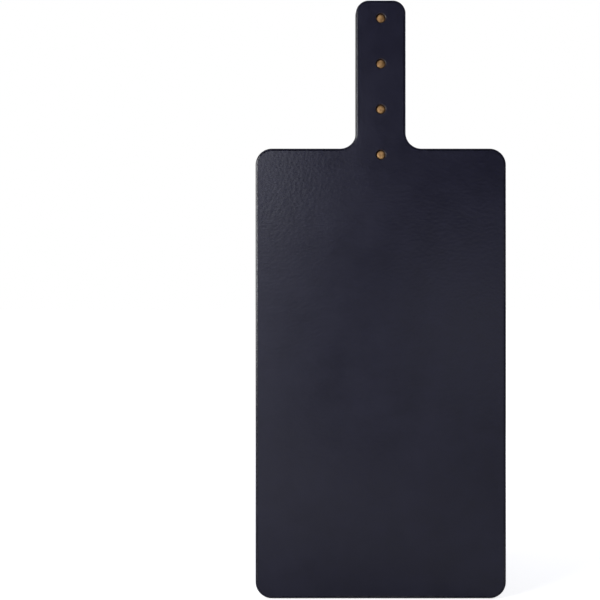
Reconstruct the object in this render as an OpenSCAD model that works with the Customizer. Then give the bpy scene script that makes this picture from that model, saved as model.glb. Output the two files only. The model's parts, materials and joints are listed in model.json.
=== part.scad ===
// Clapper kick paddle: two heavy leather leaves riveted over a stiff core at the handle.
// The leaves are free below the core, so a kick claps them together.
// Frame: millimetres, +Z up along the handle, -Y the front, origin at the middle of the grip.

/* [Blade] */
// Width of the striking blade
blade_w = 191; // [150:1:230]
// Length of the blade, from the shoulder to the lower edge
blade_l = 343; // [260:1:420]
// Radius of the blade's four corners
corner_r = 12.5; // [6:0.5:30]

/* [Handle] */
// Width of the handle
handle_w = 38; // [30:1:46]
// Length of the handle, from its end to the shoulder
handle_l = 113; // [92:1:140]
// Radius of the two corners at the handle's end
handle_end_r = 10; // [4:0.5:14]
// Radius of the inside curve where the handle meets the shoulder
shoulder_r = 12; // [4:0.5:20]

/* [Leather and core] */
// Thickness of one leather leaf
leaf_t = 4.8; // [3.8:0.1:6]
// Thickness of the core, which is also the gap between the two blades
core_t = 3.2; // [2.4:0.1:3.9]
// Length of core left below the lowest rivet's centre
core_tail = 7.5; // [6:0.5:14]
// Radius of the two lower corners of the core
core_foot_r = 4; // [2:0.5:8]

/* [Flex line] */
// Distance from the core's lower end to the line about which a blade bends
flex_drop = 2; // [1:0.5:6]
// Clearance between a tang's hollow end and the blade's round root
flex_gap = 0.3; // [0.3:0.05:0.6]

/* [Rivets] */
// Distance from the handle's end to the first rivet's centre
rivet_inset = 13.6; // [11:0.1:18]
// Distance from the shoulder down to the last rivet's centre
rivet_drop = 4.7; // [3:0.1:10]
// Diameter of a rivet's shank
shank_d = 4; // [3:0.1:4.4]
// Clearance around a shank
shank_gap = 0.05; // [0.03:0.01:0.1]
// Diameter of a rivet's head
head_d = 6.2; // [5.2:0.1:7]
// Thickness of the head at its rim
head_rim = 0.6; // [0.4:0.1:0.8]
// Height of the head's dome above its rim
head_dome = 0.3; // [0.2:0.1:0.6]
// Depth of the punched recess that a head sits in
head_recess = 2.8; // [1.8:0.1:3.2]
// Clearance around a head in its recess
head_gap = 0.6; // [0.2:0.1:0.8]
// Diameter of a burr, the washer under a rivet's peened tail
burr_d = 8.6; // [7.6:0.1:10]
// Thickness of a burr
burr_t = 0.9; // [0.6:0.1:1.2]
// Diameter of the peened tail
tail_d = 6; // [5:0.1:7]
// Height of the peened tail
tail_dome = 1; // [0.6:0.1:1.2]
// Depth of the punched recess that a burr sits in
burr_recess = 2.6; // [2.4:0.1:2.8]
// Clearance around a burr in its recess
burr_gap = 0.2; // [0.1:0.05:0.4]

/* [Hidden] */
$fn = 96;
rivet_count = 4;
rivet_ids = [1 : rivet_count];
leather = "#26262f";
core_leather = "#5a4431";
brass = "#b98a52";

// Heights, from the grip's middle
handle_top_z = handle_l / 2;
shoulder_z = -handle_l / 2;
blade_low_z = shoulder_z - blade_l;
first_rivet_z = handle_top_z - rivet_inset;
last_rivet_z = shoulder_z - rivet_drop;
rivet_pitch = (first_rivet_z - last_rivet_z) / (rivet_count - 1);
core_low_z = last_rivet_z - core_tail;
flex_z = core_low_z - flex_drop;

// Depths, from the handle's mid-plane
stack_t = 2 * leaf_t + core_t;
leaf_y = (core_t + leaf_t) / 2;
head_seat_y = head_recess - stack_t / 2;
burr_seat_y = stack_t / 2 - burr_recess;

// Longer than any cut has to be
past = blade_w + blade_l;

// Strip with four rounded corners, centred across and lying between two heights
module rounded_strip(w, low, high, r_low, r_high) {
    translate([-w / 2, low + r_low]) square([w, high - low - r_low - r_high]);
    translate([r_low - w / 2, low]) square([w - 2 * r_low, 2 * r_low]);
    translate([r_high - w / 2, high - 2 * r_high]) square([w - 2 * r_high, 2 * r_high]);
    for (side = [-1, 1]) {
        translate([side * (w / 2 - r_low), low + r_low]) circle(r_low);
        translate([side * (w / 2 - r_high), high - r_high]) circle(r_high);
    }
}

// Inside curve between the handle's right side and the shoulder
module shoulder_curve() {
    translate([handle_w / 2, shoulder_z]) difference() {
        square(shoulder_r);
        translate([shoulder_r, shoulder_r]) circle(shoulder_r);
    }
}

// One leaf as it is cut from the hide: blade and handle in one piece
module leaf_outline() {
    rounded_strip(blade_w, blade_low_z, shoulder_z, corner_r, corner_r);
    rounded_strip(handle_w, shoulder_z - 2 * handle_end_r, handle_top_z, handle_end_r, handle_end_r);
    shoulder_curve();
    mirror([1, 0]) shoulder_curve();
}

// Stands an outline up in the XZ plane, centred on a depth
module upright(y, t) {
    translate([0, y + t / 2, 0]) rotate([90, 0, 0]) linear_extrude(t) children();
}

// Turns what is built along +Z to point out of the front, or out of the back
module out_of_front(y, z) {
    translate([0, y, z]) rotate([90, 0, 0]) children();
}

module out_of_back(y, z) {
    translate([0, y, z]) rotate([-90, 0, 0]) children();
}

function rivet_z(i) = first_rivet_z - (i - 1) * rivet_pitch;

// Round bar along the flex line of the leaf at a depth
module flex_bar(y, r) {
    translate([-past / 2, y, flex_z]) rotate([0, 90, 0]) cylinder(r = r, h = past);
}

// All that lies above the flex line
module above_flex_line() {
    translate([-past, -past, flex_z]) cube([2 * past, 2 * past, past]);
}

module below_flex_line() {
    translate([-past, -past, flex_z - past]) cube([2 * past, 2 * past, past]);
}

// Shank holes through everything in the handle
module shank_holes() {
    for (i = rivet_ids) {
        out_of_front(past / 2, rivet_z(i)) cylinder(d = shank_d + 2 * shank_gap, h = past);
    }
}

// The part of a leaf that the rivets clamp
module tang(y) {
    difference() {
        intersection() {
            upright(y, leaf_t) leaf_outline();
            above_flex_line();
        }
        flex_bar(y, leaf_t / 2 + flex_gap);
        shank_holes();
    }
}

// The free part of a leaf, with the round root that it bends about
module blade(y) {
    intersection() {
        upright(y, leaf_t) leaf_outline();
        union() {
            below_flex_line();
            flex_bar(y, leaf_t / 2);
        }
    }
}

module front_tang() color(leather) difference() {
    tang(-leaf_y);
    for (i = rivet_ids) {
        out_of_front(head_seat_y, rivet_z(i)) cylinder(d = head_d + 2 * head_gap, h = past);
    }
}

module back_tang() color(leather) difference() {
    tang(leaf_y);
    for (i = rivet_ids) {
        out_of_back(burr_seat_y, rivet_z(i)) cylinder(d = burr_d + 2 * burr_gap, h = past);
    }
}

module front_blade() color(leather) blade(-leaf_y);

module back_blade() color(leather) blade(leaf_y);

module handle_core() color(core_leather) difference() {
    upright(0, core_t) rounded_strip(handle_w, core_low_z, handle_top_z, core_foot_r, handle_end_r);
    shank_holes();
}

// Low dome of a given base and height, standing on z = 0
module dome(d, h) {
    ball_r = (d * d / 4 + h * h) / (2 * h);
    intersection() {
        translate([0, 0, h - ball_r]) sphere(ball_r);
        cylinder(d = d, h = h);
    }
}

// Head, shank and peened tail are one piece of metal once the rivet is set
module rivet(i) color(brass) {
    z = rivet_z(i);
    out_of_front(head_seat_y, z) {
        cylinder(d = head_d, h = head_rim);
        translate([0, 0, head_rim]) dome(head_d, head_dome);
    }
    out_of_front(burr_seat_y + burr_t, z) cylinder(d = shank_d, h = burr_seat_y + burr_t - head_seat_y);
    out_of_back(burr_seat_y + burr_t, z) dome(tail_d, tail_dome);
}

module burr(i) color(brass) out_of_back(burr_seat_y, rivet_z(i)) difference() {
    cylinder(d = burr_d, h = burr_t);
    translate([0, 0, -burr_t]) cylinder(d = shank_d + 2 * shank_gap, h = 3 * burr_t);
}

front_tang();
front_blade();
back_tang();
back_blade();
handle_core();
for (i = rivet_ids) {
    rivet(i);
    burr(i);
}
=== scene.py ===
import json
import math
import bmesh
import bpy
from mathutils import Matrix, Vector, noise


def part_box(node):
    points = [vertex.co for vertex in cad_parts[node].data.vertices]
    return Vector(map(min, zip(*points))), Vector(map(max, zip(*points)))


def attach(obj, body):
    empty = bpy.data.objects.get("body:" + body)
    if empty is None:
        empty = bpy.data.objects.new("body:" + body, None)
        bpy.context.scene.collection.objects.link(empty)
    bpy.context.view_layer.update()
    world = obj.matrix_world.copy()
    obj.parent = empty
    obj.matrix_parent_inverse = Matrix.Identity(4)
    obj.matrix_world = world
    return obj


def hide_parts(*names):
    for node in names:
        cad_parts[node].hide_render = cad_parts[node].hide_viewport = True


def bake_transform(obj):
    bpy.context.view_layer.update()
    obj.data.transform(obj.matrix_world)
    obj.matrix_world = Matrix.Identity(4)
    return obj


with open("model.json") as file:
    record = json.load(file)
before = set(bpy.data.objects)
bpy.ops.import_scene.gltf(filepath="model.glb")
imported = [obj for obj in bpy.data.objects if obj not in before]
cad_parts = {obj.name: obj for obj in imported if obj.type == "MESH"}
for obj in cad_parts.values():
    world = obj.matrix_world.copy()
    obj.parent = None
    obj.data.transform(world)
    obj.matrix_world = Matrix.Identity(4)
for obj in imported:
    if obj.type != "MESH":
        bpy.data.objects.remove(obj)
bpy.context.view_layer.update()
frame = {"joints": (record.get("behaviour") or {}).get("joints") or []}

FRONT, BACK = -1, 1


# ---- Leaves ----------------------------------------------------------------------------
# The front and back leaves are cut from thick sole leather with one die, so they match.
# Blade and handle are one piece. The cut edge is bevelled, dyed and rubbed round with wax,
# and each leaf has punched pockets, so that no rivet stands proud under the hand.

blade_low, blade_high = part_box("front_blade")
tang_low, tang_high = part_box("front_tang")
core_low, core_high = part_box("handle_core")

leaf_t = tang_high.y - tang_low.y
blade_w = blade_high.x - blade_low.x
handle_w = core_high.x - core_low.x
handle_end_z = tang_high.z
shoulder_z = -handle_end_z
blade_end_z = blade_low.z
bend_z = frame["joints"][0]["pos_m"][2]

BLADE_CORNER_R = 0.0125
HANDLE_CORNER_R = 0.010
SHOULDER_R = 0.012
OUTER_RIM_R = 0.0013
INNER_RIM_R = 0.0007
FLAT_BORDER = 0.0009
GRID_STEP = 0.005
BELLY_HEIGHT = 0.00035
BELLY_LENGTH = 0.085
BEND_LENGTH = 0.090
PLACE_TOLERANCE = 1e-5

SHANK_HOLE_R = 0.00205
HEAD_POCKET_R = 0.0037
HEAD_POCKET_DEPTH = 0.0028
BURR_POCKET_R = 0.0045
BURR_POCKET_DEPTH = 0.0026
POCKET_LIP = 0.0004


def near(a, b):
    return abs(a - b) < PLACE_TOLERANCE


def pick(kind, test):
    """In edit mode, selects the faces or edges that pass the test, and nothing else."""
    bpy.ops.mesh.select_mode(type=kind)
    bpy.ops.mesh.select_all(action="DESELECT")
    mesh = bmesh.from_edit_mesh(bpy.context.edit_object.data)
    mesh.normal_update()
    for part in mesh.faces if kind == "FACE" else mesh.edges:
        if test(part):
            part.select_set(True)
    bmesh.update_edit_mesh(bpy.context.edit_object.data)


def add_block(name, low, high):
    """Adds a block between two corners and leaves it in edit mode."""
    bpy.ops.object.select_all(action="DESELECT")
    bpy.ops.mesh.primitive_cube_add(size=1, location=(low + high) / 2)
    block = bpy.context.object
    block.name = block.data.name = name
    block.scale = high - low
    bpy.ops.object.transform_apply(location=True, rotation=True, scale=True)
    bpy.ops.object.mode_set(mode="EDIT")
    return block


def round_corners(radius, test):
    """Rounds the corner edges that run through the thickness, where the test says so."""
    def is_corner(edge):
        a, b = (v.co for v in edge.verts)
        return near(a.x, b.x) and near(a.z, b.z) and test(a)

    pick("EDGE", is_corner)
    bpy.ops.mesh.bevel(offset=radius, segments=18, affect="EDGES")


def round_rim(y, radius):
    """Rounds the edge all round the face at depth y."""
    pick("EDGE", lambda edge: all(near(v.co.y, y) for v in edge.verts))
    bpy.ops.mesh.bevel(offset=radius, segments=6, affect="EDGES")


def cut_rows(axis, low, high, step):
    """Cuts evenly spaced lines right through the piece, square to one axis."""
    count = round((high - low) / step)
    for i in range(1, count):
        place, direction = Vector(), Vector()
        place[axis] = low + (high - low) * i / count
        direction[axis] = 1
        bpy.ops.mesh.select_all(action="SELECT")
        bpy.ops.mesh.bisect(plane_co=place, plane_no=direction)


def turn(name, centre, outward, profile, sides=48):
    """Turns a solid about an axis along Y, ring by ring, from (radius, height) pairs."""
    bpy.ops.object.select_all(action="DESELECT")
    radius, height = profile[0]
    start = centre + Vector((0, outward * height, 0))
    bpy.ops.mesh.primitive_circle_add(
        vertices=sides, radius=radius, fill_type="NGON", location=start, rotation=(math.pi / 2, 0, 0)
    )
    solid = bpy.context.object
    solid.name = solid.data.name = name
    bpy.ops.object.transform_apply(location=True, rotation=True, scale=True)
    bpy.ops.object.mode_set(mode="EDIT")
    bpy.ops.mesh.select_all(action="SELECT")
    for next_radius, next_height in profile[1:]:
        step = (0, outward * (next_height - height), 0)
        bpy.ops.mesh.extrude_region_move(TRANSFORM_OT_translate={"value": step})
        ring_centre = centre + Vector((0, outward * next_height, 0))
        ratio = next_radius / radius
        bpy.ops.transform.resize(value=(ratio, 1, ratio), center_override=ring_centre)
        radius, height = next_radius, next_height
    bpy.ops.mesh.select_all(action="SELECT")
    bpy.ops.mesh.normals_make_consistent(inside=False)
    bpy.ops.object.mode_set(mode="OBJECT")
    return solid


def take_away(piece, cutters):
    """Cuts one piece with several others, which are used up."""
    bpy.ops.object.select_all(action="DESELECT")
    for cutter in cutters:
        cutter.select_set(True)
    bpy.context.view_layer.objects.active = cutters[0]
    if len(cutters) > 1:
        bpy.ops.object.join()
    tool = bpy.context.object
    cut = piece.modifiers.new("punch", "BOOLEAN")
    cut.operation, cut.solver, cut.object = "DIFFERENCE", "EXACT", tool
    bpy.context.view_layer.objects.active = piece
    bpy.ops.object.modifier_apply(modifier=cut.name)
    bpy.data.objects.remove(tool)


def smooth_shade(piece):
    """Smooth shading in which the flats stay flat and the narrow rims carry the curve."""
    bpy.ops.object.select_all(action="DESELECT")
    piece.select_set(True)
    bpy.context.view_layer.objects.active = piece
    bpy.ops.object.shade_smooth_by_angle(angle=math.radians(50))
    weighted = piece.modifiers.new("flats", "WEIGHTED_NORMAL")
    weighted.keep_sharp = True
    weighted.weight = 80
    bpy.ops.object.modifier_apply(modifier=weighted.name)


def punch_profile(pocket_r, pocket_depth):
    """A stepped punch: shank hole, pocket, and a lip that the blow draws down."""
    lip = []
    for degrees in range(0, 81, 16):
        a = math.radians(degrees)
        lip.append((pocket_r + POCKET_LIP * (1 - math.cos(a)), POCKET_LIP * (math.sin(a) - 1)))
    return [
        (SHANK_HOLE_R, -2 * leaf_t),
        (SHANK_HOLE_R, -pocket_depth),
        (pocket_r, -pocket_depth),
        *lip,
        (pocket_r + 3 * POCKET_LIP, POCKET_LIP),
    ]


def rivet_places():
    """Centres of the rivets on the handle's middle line, from its end down."""
    for number in range(1, 5):
        low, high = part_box(f"rivet_{number}")
        middle = (low + high) / 2
        yield number, Vector((middle.x, 0, middle.z))


def cut_leaf(name, outward, pocket_r, pocket_depth):
    """Cuts, rounds and punches one leaf. outward says which way its struck face points."""
    inner_y = outward * core_high.y
    outer_y = inner_y + outward * leaf_t
    y_low, y_high = sorted((inner_y, outer_y))
    low = Vector((-blade_w / 2, y_low, blade_end_z))
    leaf = add_block(name, low, Vector((blade_w / 2, y_high, shoulder_z)))
    for x in (-handle_w / 2, handle_w / 2):
        bpy.ops.mesh.select_all(action="SELECT")
        bpy.ops.mesh.bisect(plane_co=(x, 0, 0), plane_no=(1, 0, 0))
    pick("FACE", lambda face: face.normal.z > 0.9 and abs(face.calc_center_median().x) < handle_w / 4)
    bpy.ops.mesh.extrude_region_move(TRANSFORM_OT_translate={"value": (0, 0, handle_end_z - shoulder_z)})
    bpy.ops.mesh.select_all(action="SELECT")
    bpy.ops.mesh.dissolve_limited(angle_limit=math.radians(1))

    round_corners(BLADE_CORNER_R, lambda p: abs(p.x) > blade_w / 2 - PLACE_TOLERANCE)
    round_corners(HANDLE_CORNER_R, lambda p: near(p.z, handle_end_z))
    round_corners(SHOULDER_R, lambda p: near(abs(p.x), handle_w / 2) and near(p.z, shoulder_z))
    round_rim(outer_y, OUTER_RIM_R)
    round_rim(inner_y, INNER_RIM_R)
    pick("FACE", lambda face: abs(face.normal.y) > 0.99)
    bpy.ops.mesh.inset(thickness=FLAT_BORDER, use_even_offset=True)
    cut_rows(0, -blade_w / 2, blade_w / 2, GRID_STEP)
    cut_rows(2, blade_end_z, handle_end_z, GRID_STEP)
    bpy.ops.object.mode_set(mode="OBJECT")

    # The free blade isn't dead flat: hide keeps a slight belly, and none where it is riveted.
    for v in leaf.data.vertices:
        free = min(1, max(0, (bend_z - v.co.z) / BEND_LENGTH))
        place = Vector((v.co.x, 0.5 * outward, v.co.z)) / BELLY_LENGTH
        v.co.y += outward * BELLY_HEIGHT * free * (0.5 + 0.5 * noise.noise(place))

    face_at = Vector((0, outer_y, 0))
    take_away(leaf, [
        turn("punch", place + face_at, outward, punch_profile(pocket_r, pocket_depth))
        for number, place in rivet_places()
    ])
    smooth_shade(leaf)
    return leaf


front_leaf = cut_leaf("front_leaf", FRONT, HEAD_POCKET_R, HEAD_POCKET_DEPTH)
back_leaf = cut_leaf("back_leaf", BACK, BURR_POCKET_R, BURR_POCKET_DEPTH)

LEATHER_DARK = "#0f0f21"
LEATHER_LIGHT = "#151528"
EDGE_BLACK = "#121216"
EDGE_BROWN = "#1e1a1a"
FLESH_DARK = "#18171b"
FLESH_LIGHT = "#2b292d"
NAP_MM = 1.1
RAW_LEATHER = "#3a2517"
RAW_LEATHER_DARK = "#160d08"
LEATHER_IOR = 1.5
PORE_MM = 2.4
MOTTLE_MM = 14
CLOUD_MM = 60
EDGE_STREAK_MM = 0.9
PUNCHED_FIBRE_MM = 0.8


def linear(hex_colour):
    """Turns an sRGB hex colour to the linear colour that a shader takes."""
    parts = [int(hex_colour[i:i + 2], 16) / 255 for i in (1, 3, 5)]
    return [p / 12.92 if p <= 0.04045 else ((p + 0.055) / 1.055) ** 2.4 for p in parts] + [1]


def add_node(tree, kind, settings=None, inputs=None, **links):
    """Adds a shader node, sets its properties and inputs, and links its inputs by name."""
    new = tree.nodes.new(kind)
    for key, value in (settings or {}).items():
        setattr(new, key, value)
    for key, value in (inputs or {}).items():
        new.inputs[key].default_value = value
    for key, output in links.items():
        tree.links.new(output, new.inputs[key.replace("_", " ")])
    return new


def new_material(name):
    """A material whose node tree holds only an output, and that output."""
    material = bpy.data.materials.new(name)
    material.use_nodes = True
    material.node_tree.nodes.clear()
    output = material.node_tree.nodes.new("ShaderNodeOutputMaterial")
    return material, material.node_tree, output


def per_mm(size_mm):
    """Noise scale that gives features of a real size."""
    return 1000 / size_mm


def maths(tree, operation, first, second):
    """A sum on two values, each of which is a number or another node's output."""
    new = add_node(tree, "ShaderNodeMath", {"operation": operation})
    for socket, value in zip(new.inputs, (first, second)):
        if isinstance(value, (int, float)):
            socket.default_value = value
        else:
            tree.links.new(value, socket)
    return new.outputs[0]


def fibre_noise(tree, place, size_mm, detail, roughness=0.5, distortion=0):
    """Fractal noise whose largest features have a real size in millimetres."""
    return add_node(
        tree, "ShaderNodeTexNoise", None,
        {"Scale": per_mm(size_mm), "Detail": detail, "Roughness": roughness, "Distortion": distortion},
        Vector=place,
    ).outputs["Fac"]


def tint(tree, amount, dark_below, dark, light_above, light):
    """Runs from a dark to a light colour as a value passes between two levels."""
    new = add_node(tree, "ShaderNodeValToRGB", None, None, Fac=amount)
    for stop, level, colour in zip(new.color_ramp.elements, (dark_below, light_above), (dark, light)):
        stop.position = level
        stop.color = linear(colour)
    return new.outputs["Color"]


def relief(tree, height, strength, depth_mm, under=None):
    """Bumps the surface by a value, on top of any other relief."""
    size = {"Strength": strength, "Distance": depth_mm / 1000}
    new = add_node(tree, "ShaderNodeBump", None, size, Height=height)
    if under:
        tree.links.new(under, new.inputs["Normal"])
    return new.outputs["Normal"]


def set_surface(tree, output, settings, **links):
    """Gives a material its surface shader."""
    shader = add_node(tree, "ShaderNodeBsdfPrincipled", None, settings, **links)
    tree.links.new(shader.outputs["BSDF"], output.inputs["Surface"])


# Finished grain side of drum-dyed, waxed sole leather. The wax gives a soft, wide gloss
# that wanders with the hide: clouds of firmer and looser fibre, and shallow pores.
struck_face, tree, output = new_material("waxed_black_sole_leather")
place = add_node(tree, "ShaderNodeTexCoord").outputs["Object"]
cloud = fibre_noise(tree, place, CLOUD_MM, 4, 0.55)
mottle = fibre_noise(tree, place, MOTTLE_MM, 5, 0.6)
pores = add_node(
    tree, "ShaderNodeTexVoronoi", {"feature": "SMOOTH_F1"},
    {"Scale": per_mm(PORE_MM), "Smoothness": 0.6, "Randomness": 1}, Vector=place,
).outputs["Distance"]
hide = maths(tree, "MULTIPLY", maths(tree, "ADD", cloud, mottle), 0.5)
dye = tint(tree, hide, 0.35, LEATHER_DARK, 0.65, LEATHER_LIGHT)
gloss = add_node(
    tree, "ShaderNodeMapRange", None,
    {"From Min": 0.35, "From Max": 0.65, "To Min": 0.22, "To Max": 0.27}, Value=hide,
).outputs["Result"]
grain = relief(tree, pores, 0.10, 0.4, relief(tree, mottle, 0.12, 0.6))
set_surface(tree, output, {"IOR": LEATHER_IOR}, Base_Color=dye, Roughness=gloss, Normal=grain)

# Cut edge: the fibres are packed down and waxed, so it is blacker and shinier than the face,
# with fine streaks along it where the layers of the hide were rubbed together.
burnished_edge, tree, output = new_material("burnished_leather_edge")
place = add_node(tree, "ShaderNodeTexCoord").outputs["Object"]
along = add_node(tree, "ShaderNodeMapping", None, {"Scale": (0.12, 1, 0.12)}, Vector=place)
streaks = fibre_noise(tree, along.outputs["Vector"], EDGE_STREAK_MM, 4, 0.6)
dye = tint(tree, streaks, 0.3, EDGE_BLACK, 0.75, EDGE_BROWN)
gloss = add_node(tree, "ShaderNodeMapRange", None, {"To Min": 0.40, "To Max": 0.55}, Value=streaks)
set_surface(
    tree, output, {"IOR": LEATHER_IOR},
    Base_Color=dye, Roughness=gloss.outputs["Result"], Normal=relief(tree, streaks, 0.25, 0.3),
)

# Flesh side, turned in on both leaves: dyed through, sized and slicked, but still a short nap
# with no shine, in which the fibres lie in loose bundles.
flesh_side, tree, output = new_material("slicked_flesh_side")
place = add_node(tree, "ShaderNodeTexCoord").outputs["Object"]
bundles = fibre_noise(tree, place, MOTTLE_MM, 3)
nap = fibre_noise(tree, place, NAP_MM, 6, 0.75, 0.6)
dye = tint(tree, nap, 0.3, FLESH_DARK, 0.7, FLESH_LIGHT)
raised_nap = relief(tree, nap, 0.5, 0.4, relief(tree, bundles, 0.2, 0.6))
set_surface(tree, output, {"IOR": LEATHER_IOR, "Roughness": 0.8}, Base_Color=dye, Normal=raised_nap)

# Punched wall: the punch lays bare the hide's middle, where the dye has only half gone in.
punched_wall, tree, output = new_material("punched_raw_leather")
place = add_node(tree, "ShaderNodeTexCoord").outputs["Object"]
fibres = fibre_noise(tree, place, PUNCHED_FIBRE_MM, 5, 0.7)
dye = tint(tree, fibres, 0.3, RAW_LEATHER_DARK, 0.7, RAW_LEATHER)
torn = relief(tree, fibres, 0.5, 0.3)
set_surface(tree, output, {"IOR": LEATHER_IOR, "Roughness": 0.85}, Base_Color=dye, Normal=torn)

rivet_centres = [place for number, place in rivet_places()]
for leaf, body, outward, pocket_r, nodes in (
    (front_leaf, "front_leaf", FRONT, HEAD_POCKET_R, ("front_tang", "front_blade")),
    (back_leaf, "back_leaf", BACK, BURR_POCKET_R, ("back_tang", "back_blade")),
):
    for material in (struck_face, burnished_edge, flesh_side, punched_wall):
        leaf.data.materials.append(material)
    for face in leaf.data.polygons:
        facing_out = outward * face.normal.y
        from_rivet = min(math.hypot(face.center.x - c.x, face.center.z - c.z) for c in rivet_centres)
        in_pocket = from_rivet < pocket_r - POCKET_LIP
        on_lip = from_rivet < pocket_r + POCKET_LIP and facing_out < 0.95
        if in_pocket or on_lip:
            face.material_index = 3
        elif facing_out < -0.7:
            face.material_index = 2
        elif facing_out < 0.7 and from_rivet > pocket_r + 2 * POCKET_LIP:
            face.material_index = 1
    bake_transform(leaf)
    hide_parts(*nodes)


# ---- Handle core ------------------------------------------------------------------------
# A strip of sole leather between the leaves keeps the blades apart. It is cut a hair
# smaller than the handle, so the plies read as three on the edge, and its edge is dyed dark.

CORE_SETBACK = 0.0003
CORE_RIM_R = 0.0005
CORE_FOOT_R = 0.004
CORE_DARK = "#17120f"
CORE_LIGHT = "#3b2c22"
CORE_FIBRE_MM = 0.6

side_setback = Vector((CORE_SETBACK, 0, 0))
end_setback = Vector((0, 0, CORE_SETBACK))
core = add_block("core_strip", core_low + side_setback, core_high - side_setback - end_setback)
round_corners(CORE_FOOT_R, lambda p: p.z < shoulder_z)
round_corners(HANDLE_CORNER_R - CORE_SETBACK, lambda p: p.z > shoulder_z)
round_rim(core_low.y, CORE_RIM_R)
round_rim(core_high.y, CORE_RIM_R)
bpy.ops.object.mode_set(mode="OBJECT")
take_away(core, [
    turn("shank_hole", place, FRONT, [(SHANK_HOLE_R, -leaf_t), (SHANK_HOLE_R, leaf_t)])
    for number, place in rivet_places()
])
smooth_shade(core)

# Half-dyed sole leather on its edge: fibre streaks along the strip, dull and a little brown.
core_edge, tree, output = new_material("dyed_core_leather")
place = add_node(tree, "ShaderNodeTexCoord").outputs["Object"]
along = add_node(tree, "ShaderNodeMapping", None, {"Scale": (0.15, 1, 0.15)}, Vector=place)
streaks = fibre_noise(tree, along.outputs["Vector"], CORE_FIBRE_MM, 5, 0.65)
dye = tint(tree, streaks, 0.35, CORE_DARK, 0.7, CORE_LIGHT)
streaked = relief(tree, streaks, 0.4, 0.3)
set_surface(tree, output, {"IOR": LEATHER_IOR, "Roughness": 0.7}, Base_Color=dye, Normal=streaked)
core.data.materials.append(core_edge)
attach(core, "handle")
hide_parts("handle_core")


# ---- Rivets -----------------------------------------------------------------------------
# Solid brass harness rivets. The head is a low dome with a soft rim, pressed into its pocket
# from the front, and the tail is hammered over its burr at the back, so it is dented.

HEAD_RIM_T = 0.0006
HEAD_DOME = 0.0003
SHANK_R = 0.002
TAIL_R = 0.003
DENT_DEPTH = 0.00012
DENTS_PER_M = 900
RIM_BEVEL = 0.0001
TAIL_TOP_R = 0.0006
TARNISH_MM = 2.5
SCUFF_MM = 0.5
BRASS_LIGHT = "#c9a06e"
BRASS_DULL = "#8d6a45"


def dome(radius, height, base, steps=7):
    """Rings of a dome, from its foot up to a small flat top."""
    return [
        (radius * math.cos(a), base + height * math.sin(a))
        for a in (math.radians(84) * i / steps for i in range(steps + 1))
    ]


def set_rivet(number, place):
    """One piece of metal: peened tail, shank, and head with its rim and dome."""
    low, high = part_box(f"rivet_{number}")
    head_r = (high.x - low.x) / 2
    head_face = -low.y
    head_seat = head_face - HEAD_DOME - HEAD_RIM_T
    burr_top = -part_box(f"burr_{number}")[1].y
    tail_dome = high.y + burr_top
    rim_top = head_seat + HEAD_RIM_T
    rivet = turn(f"set_rivet_{number}", place, FRONT, [
        (TAIL_TOP_R, burr_top - tail_dome),
        *[(r, burr_top - h) for r, h in reversed(dome(TAIL_R, tail_dome, 0, 6))][1:],
        (SHANK_R, burr_top),
        (SHANK_R, head_seat),
        (head_r - RIM_BEVEL, head_seat),
        (head_r, head_seat + RIM_BEVEL),
        (head_r, rim_top - RIM_BEVEL),
        (head_r - RIM_BEVEL, rim_top),
        *dome(head_r - 2 * RIM_BEVEL, HEAD_DOME, rim_top)[1:],
    ])
    for v in rivet.data.vertices:
        if v.co.y > -burr_top + RIM_BEVEL:
            v.co.y -= DENT_DEPTH * (1 + noise.noise(v.co * DENTS_PER_M + Vector((number, 0, 0))))
    smooth_shade(rivet)
    return rivet


# Satin brass gone dull in the hand: warm and brownish, brighter where it is rubbed.
dull_brass, tree, output = new_material("dulled_brass")
place = add_node(tree, "ShaderNodeTexCoord").outputs["Object"]
tarnish = fibre_noise(tree, place, TARNISH_MM, 4, 0.6)
colour = tint(tree, tarnish, 0.35, BRASS_DULL, 0.65, BRASS_LIGHT)
rubbed = add_node(tree, "ShaderNodeMapRange", None, {"To Min": 0.32, "To Max": 0.55}, Value=tarnish)
scuffs = relief(tree, fibre_noise(tree, place, SCUFF_MM, 3), 0.3, 0.1)
set_surface(
    tree, output, {"Metallic": 0.85},
    Base_Color=colour, Roughness=rubbed.outputs["Result"], Normal=scuffs,
)

for number, place in rivet_places():
    rivet = set_rivet(number, place)
    rivet.data.materials.append(dull_brass)
    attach(rivet, "handle")
    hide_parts(f"rivet_{number}")


# ---- Burrs ------------------------------------------------------------------------------
# A burr is a punched brass washer, driven down the shank into its pocket at the back
# before the tail is hammered over it. Its punched rim is slightly rounded.

BURR_RIM_R = 0.00015

for number, place in rivet_places():
    low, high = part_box(f"burr_{number}")
    outer_r = (high.x - low.x) / 2
    burr = turn(f"washer_{number}", place, BACK, [
        (outer_r - BURR_RIM_R, low.y),
        (outer_r, low.y + BURR_RIM_R),
        (outer_r, high.y - BURR_RIM_R),
        (outer_r - BURR_RIM_R, high.y),
    ])
    take_away(burr, [turn("shank_hole", place, BACK, [(SHANK_HOLE_R, 0), (SHANK_HOLE_R, 2 * leaf_t)])])
    smooth_shade(burr)
    burr.data.materials.append(dull_brass)
    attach(burr, "handle")
    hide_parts(f"burr_{number}")


# ---- Studio -----------------------------------------------------------------------------
# The paddle stands on its lower edge on a white floor, before a white backdrop. A soft lamp
# on the left lights it, three weak cards near the camera lie in its gloss, and another soft
# lamp lights the back. The room in front of it is dim, so that black leather stays black.

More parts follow.
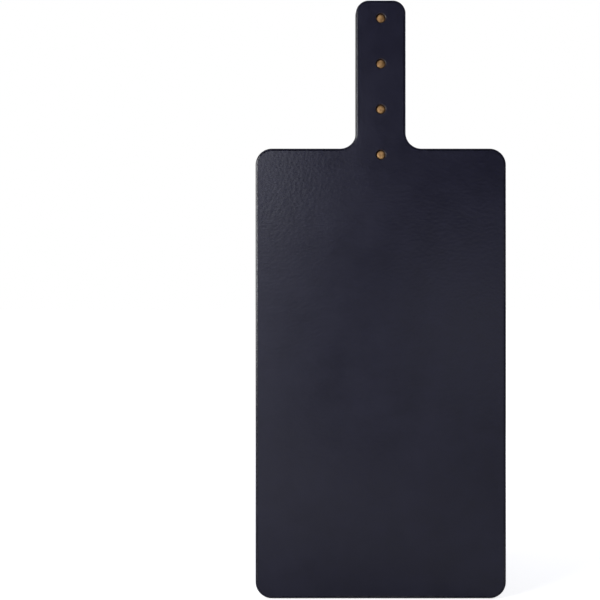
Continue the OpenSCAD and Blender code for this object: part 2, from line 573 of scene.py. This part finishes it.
FLOOR_GAP = 0.0005
FLOOR_SIZE = 60
FLOOR_WHITE = 0.8
# Floor colour in mirror rays only: a painted shade on the floor's reflection in the leather.
FLOOR_SHADED_IN_MIRRORS = 0.5
NEAR_GLOW = 0.7
GLOW_NEAR_TO = 0.4
GLOW_FULL_FROM = 1.6
ROOM_LIGHT = 0.12
BACKDROP_LIGHT = 0.6
BACKDROP_SPREAD = 0.4
COOL = (0.86, 0.88, 1)
LENS_MM = 85
SENSOR_MM = 36
FRAME_HEIGHT = 0.4600
VIEW_CENTRE_X = -0.0616
VIEW_CENTRE_BELOW_END = 0.2285

bpy.ops.object.select_all(action="DESELECT")
bpy.ops.mesh.primitive_plane_add(size=FLOOR_SIZE, location=(0, 0, blade_end_z - FLOOR_GAP))
floor = bpy.context.object
floor.name = "studio_floor"
floor_paint, tree, output = new_material("white_floor")
rays = add_node(tree, "ShaderNodeLightPath").outputs
place = add_node(tree, "ShaderNodeTexCoord").outputs["Object"]
from_paddle = add_node(tree, "ShaderNodeVectorMath", {"operation": "LENGTH"})
tree.links.new(place, from_paddle.inputs[0])
far = add_node(
    tree, "ShaderNodeMapRange", None,
    {"From Min": GLOW_NEAR_TO, "From Max": GLOW_FULL_FROM, "To Min": NEAR_GLOW, "To Max": 1.0},
    Value=from_paddle.outputs["Value"],
)
seen = maths(tree, "MAXIMUM", rays["Is Camera Ray"], rays["Is Transmission Ray"])
mirrored = maths(tree, "MULTIPLY", rays["Is Glossy Ray"], ROOM_LIGHT)
glow_strength = maths(tree, "MULTIPLY", far.outputs["Result"], maths(tree, "MAXIMUM", seen, mirrored))
# The floor is painted darker where the leather mirrors it, 0.5 against 0.8 for other rays: a painted
# shade on the floor's reflection in the leather.
floor_shade_for_mirrors = add_node(
    tree, "ShaderNodeMapRange", None, {"To Min": FLOOR_WHITE, "To Max": FLOOR_SHADED_IN_MIRRORS},
    Value=rays["Is Glossy Ray"],
)
paint = add_node(tree, "ShaderNodeBsdfDiffuse", None, None, Color=floor_shade_for_mirrors.outputs["Result"])
glow = add_node(tree, "ShaderNodeEmission", None, {"Color": (1, 1, 1, 1)}, Strength=glow_strength)
both = add_node(tree, "ShaderNodeAddShader")
tree.links.new(paint.outputs[0], both.inputs[0])
tree.links.new(glow.outputs[0], both.inputs[1])
tree.links.new(both.outputs[0], output.inputs["Surface"])
floor.data.materials.append(floor_paint)

world = bpy.data.worlds.new("studio_world")
bpy.context.scene.world = world
world.use_nodes = True
tree = world.node_tree
tree.nodes.clear()
rays = add_node(tree, "ShaderNodeLightPath").outputs
direction = add_node(tree, "ShaderNodeTexCoord").outputs["Generated"]
backward = add_node(tree, "ShaderNodeSeparateXYZ", None, None, Vector=direction).outputs["Y"]
backdrop = add_node(
    tree, "ShaderNodeMapRange", None,
    {"From Min": -BACKDROP_SPREAD, "From Max": BACKDROP_SPREAD, "To Max": BACKDROP_LIGHT}, Value=backward,
)
mirrored = maths(tree, "MULTIPLY", backdrop.outputs["Result"], rays["Is Glossy Ray"])
seen = maths(tree, "MAXIMUM", rays["Is Camera Ray"], rays["Is Transmission Ray"])
strength = maths(tree, "MAXIMUM", maths(tree, "MAXIMUM", mirrored, ROOM_LIGHT), seen)
sky = add_node(tree, "ShaderNodeBackground", None, {"Color": (1, 1, 1, 1)}, Strength=strength)
output = add_node(tree, "ShaderNodeOutputWorld")
tree.links.new(sky.outputs[0], output.inputs["Surface"])


def add_lamp(name, place, size, watts, colour=(1, 1, 1)):
    """A square soft lamp, aimed at the paddle's middle."""
    lamp = bpy.data.objects.new(name, bpy.data.lights.new(name, "AREA"))
    bpy.context.scene.collection.objects.link(lamp)
    lamp.data.shape = "SQUARE"
    lamp.data.size, lamp.data.energy, lamp.data.color = size, watts, colour
    lamp.visible_camera = False
    lamp.location = place
    lamp.rotation_euler = (middle - Vector(place)).to_track_quat("-Z", "Y").to_euler()


middle_z = (handle_end_z + blade_end_z) / 2
middle = Vector((0, 0, middle_z))
add_lamp("side_softbox", (-0.66, -0.75, -0.02), 0.5, 9.8)
add_lamp("upper_card", (-0.19, -1.10, 0.06), 0.20, 0.37, COOL)
add_lamp("lower_card", (-0.24, -1.10, -0.21), 0.36, 0.26, COOL)
add_lamp("right_card", (0.22, -1.10, -0.20), 0.27, 0.12, COOL)
add_lamp("back_softbox", (0.75, 1.0, 0.25), 0.7, 9, COOL)

camera = bpy.data.objects.new("camera", bpy.data.cameras.new("camera"))
bpy.context.scene.collection.objects.link(camera)
camera.data.lens, camera.data.sensor_width = LENS_MM, SENSOR_MM
distance = FRAME_HEIGHT * LENS_MM / SENSOR_MM
camera.location = (VIEW_CENTRE_X, -distance, handle_end_z - VIEW_CENTRE_BELOW_END)
camera.rotation_euler = (math.pi / 2, 0, 0)
bpy.context.scene.camera = camera
bpy.context.scene.view_settings.view_transform = "Standard"

bpy.context.view_layer.update()
